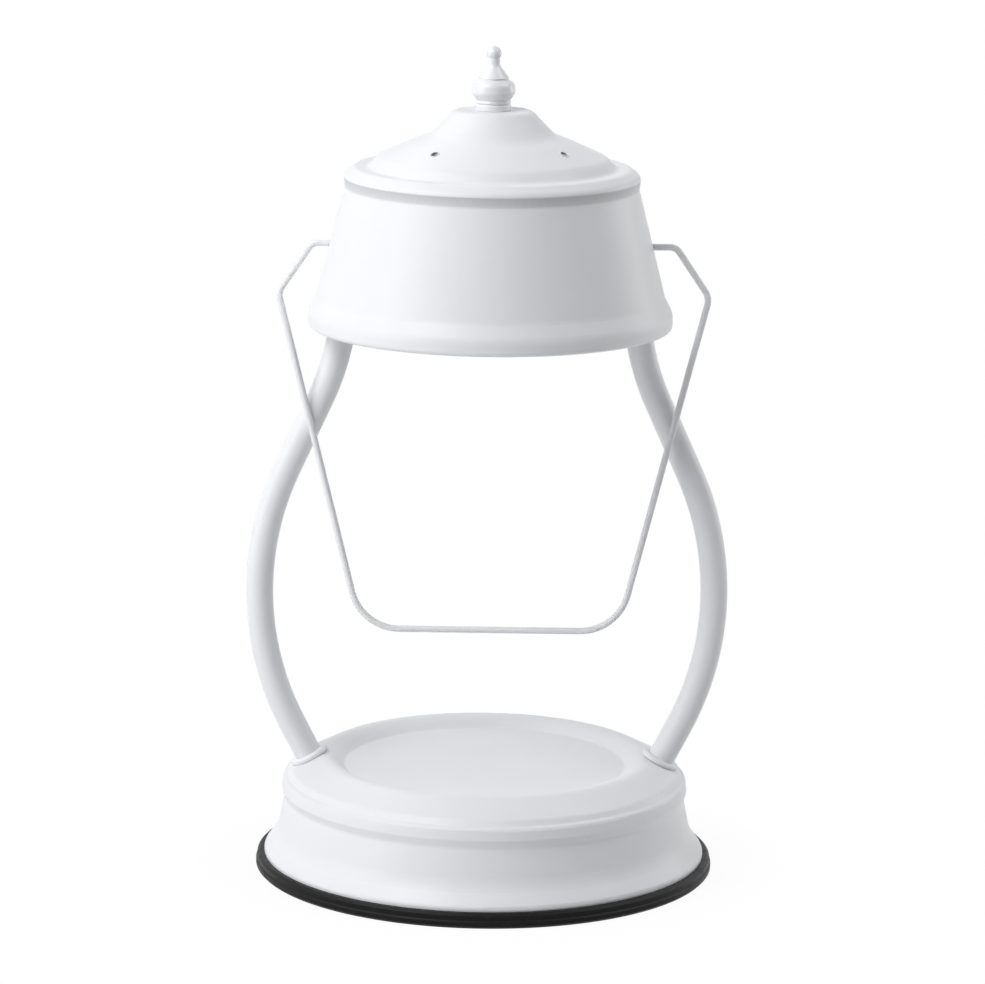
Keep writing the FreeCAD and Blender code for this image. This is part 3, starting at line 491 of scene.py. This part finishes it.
shape = bmesh.new()
shape.from_mesh(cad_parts["plate_screws"].data)
crossed_screws = finished(shape, "crossed_plate_screws", screw_finish)
low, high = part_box("plate_screws")
bar_size = Matrix.Diagonal((BAR_LENGTH * MM, BAR_WIDTH * MM, 2 * BAR_DEPTH * MM, 1))
shape = bmesh.new()
for screw_turn in SCREW_TURNS:
    head = Matrix.Rotation(math.radians(screw_turn), 4, "Z") @ Matrix.Translation(
        (SCREW_CIRCLE * MM, 0, low[2]))
    for bar_turn in BAR_TURNS:
        bar = head @ Matrix.Rotation(math.radians(bar_turn), 4, "Z")
        bmesh.ops.create_cube(shape, size=1, matrix=bar @ bar_size)
cutter_mesh = bpy.data.meshes.new("crosses")
shape.to_mesh(cutter_mesh)
shape.free()
cutter = bpy.data.objects.new("crosses", cutter_mesh)
scene.collection.objects.link(cutter)
recess = crossed_screws.modifiers.new("recess", "BOOLEAN")
recess.operation = "DIFFERENCE"
recess.use_self = True
recess.object = cutter
evaluated = crossed_screws.evaluated_get(bpy.context.evaluated_depsgraph_get())
crossed_screws.data = bpy.data.meshes.new_from_object(evaluated)
crossed_screws.modifiers.clear()
bpy.data.objects.remove(cutter)
crossed_screws.data.set_sharp_from_angle(angle=math.radians(SHARP_ANGLE))
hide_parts("plate_screws")
print("crossed screws:", len(crossed_screws.data.polygons), "faces")


# %% [markdown]
# The picture's background is plain white. The floor and the world are white to the camera,
# to a reflection and through clear glass, which Light Path tells apart. To the light that
# falls on the enamel they are an ordinary floor and a dim sky, so the white background
# doesn't wash the lamp out. Close to the lamp the floor lets a little of its shadow show.
# %% Floor and world
FLOOR_RADIUS = 6000
FLOOR_GREY = 0.90
SHADOW_FROM = 85
SHADOW_TO = 125
SHADOW_SHARE = 0.05
SKY_STRENGTH = 0.06


def seen_white(paint):
    """One for the rays that show the background, and nought for those that light things."""
    camera_ray = paint.add("LightPath", output="Is Camera Ray")
    kinds = camera_ray.output.node.outputs
    return camera_ray + Signal(paint, kinds["Is Glossy Ray"]) + Signal(
        paint, kinds["Is Transmission Ray"])


def fading_floor(name, inner, outer, shadow):
    """A pale floor, white to the eye but for a share of its shadow near the lamp."""
    paint = Paint(name)
    across = paint.add("SeparateXYZ", output="X", sockets={"Vector": place(paint)})
    deep = Signal(paint, across.output.node.outputs["Y"])
    distance = (across * across + deep * deep) ** 0.5
    fade = between(paint, distance, 1 - shadow, 1, inner, outer)
    ground = paint.add("BsdfDiffuse", sockets={"Color": grey(FLOOR_GREY)})
    white = paint.add("Emission", sockets={"Color": grey(1.0), "Strength": 1.0})
    return paint.finish(paint.add("MixShader", sockets={
        0: fade * seen_white(paint), 1: ground, 2: white}))


shape = bmesh.new()
bmesh.ops.create_circle(shape, cap_ends=True, segments=64, radius=FLOOR_RADIUS * MM)
floor_mesh = bpy.data.meshes.new("floor")
shape.to_mesh(floor_mesh)
shape.free()
floor = bpy.data.objects.new("floor", floor_mesh)
scene.collection.objects.link(floor)
floor.data.materials.append(
    fading_floor("floor_white", SHADOW_FROM * MM, SHADOW_TO * MM, SHADOW_SHARE))

scene.world = bpy.data.worlds.new("studio")
sky = Paint("studio", owner=scene.world)
dim_sky = sky.add("Background", sockets={
    "Color": (0.96, 0.98, 1.0, 1), "Strength": SKY_STRENGTH})
white_sky = sky.add("Background", sockets={"Color": grey(1), "Strength": 1.0})
sky.finish(sky.add("MixShader", sockets={0: seen_white(sky), 1: dim_sky, 2: white_sky}),
           kind="OutputWorld")
print("floor and world ready")


# %% [markdown]
# The picture's light is soft and comes mostly from the left. Six square lights stand at the
# same distance: the key high on the front left, two weaker ones on the left, two on the
# right that lift the far edge, and a faint one behind for the seat's rim.
# %% Lights
LIGHT_DISTANCE = 1500
LIGHT_SIZE = 750
LIGHT_TARGET = Vector((0, 0, 150))


def softbox(name, azimuth, elevation, power):
    """A square area light aimed at the lamp. Azimuth 0 is the front, 90 the right."""
    turn = math.radians(azimuth)
    rise = math.radians(elevation)
    direction = Vector((math.sin(turn) * math.cos(rise), -math.cos(turn) * math.cos(rise),
                        math.sin(rise)))
    data = bpy.data.lights.new(name, "AREA")
    data.size = LIGHT_SIZE * MM
    data.energy = power
    light = bpy.data.objects.new(name, data)
    scene.collection.objects.link(light)
    light.location = (LIGHT_TARGET + direction * LIGHT_DISTANCE) * MM
    light.rotation_euler = (-direction).to_track_quat("-Z", "Y").to_euler()


softbox("key_left", -45, 48, 12.3)
softbox("side_left", -90, 48, 4.2)
softbox("low_left", -65, 12, 5.7)
softbox("edge_right", 115, 12, 4.8)
softbox("high_right", 90, 48, 5.2)
softbox("behind", -150, 48, 2.2)
print("lights:", [light.name for light in bpy.data.lights])
